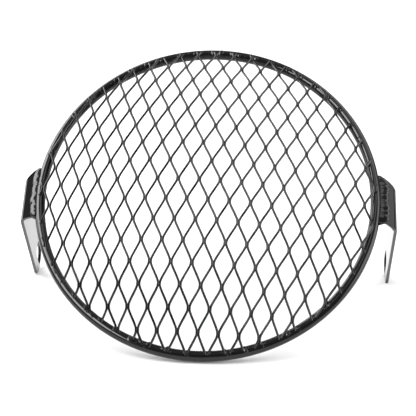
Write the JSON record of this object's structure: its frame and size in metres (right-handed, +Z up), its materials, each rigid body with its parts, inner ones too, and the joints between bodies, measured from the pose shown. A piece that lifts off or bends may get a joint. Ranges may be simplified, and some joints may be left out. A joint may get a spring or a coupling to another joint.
{
  "type": "motorcycle headlight guard",
  "caption": "Round headlight guard: a ring of round bar with a domed expanded-metal mesh and bent side brackets with bolt slots, all welded and painted gloss black.",
  "frame": {"origin": "centre of the ring, in the middle plane of its bar", "axes": "+Y back along the lamp's axis, so that the mesh faces -Y; +Z up as fitted; +X towards the bracket on the right as seen from the front"},
  "size_m": [0.1948, 0.1026, 0.1704],
  "materials": {
    "black_enamel": "gloss black enamel over steel",
    "painted_weld": "gloss black enamel over rippled weld metal"
  },
  "bodies": {
    "root": {"ring": "black_enamel", "mesh": "black_enamel", "rim_welds": "painted_weld", "left_bracket": "black_enamel", "right_bracket": "black_enamel", "left_bracket_welds": "painted_weld", "right_bracket_welds": "painted_weld"}
  },
  "joints": []
}
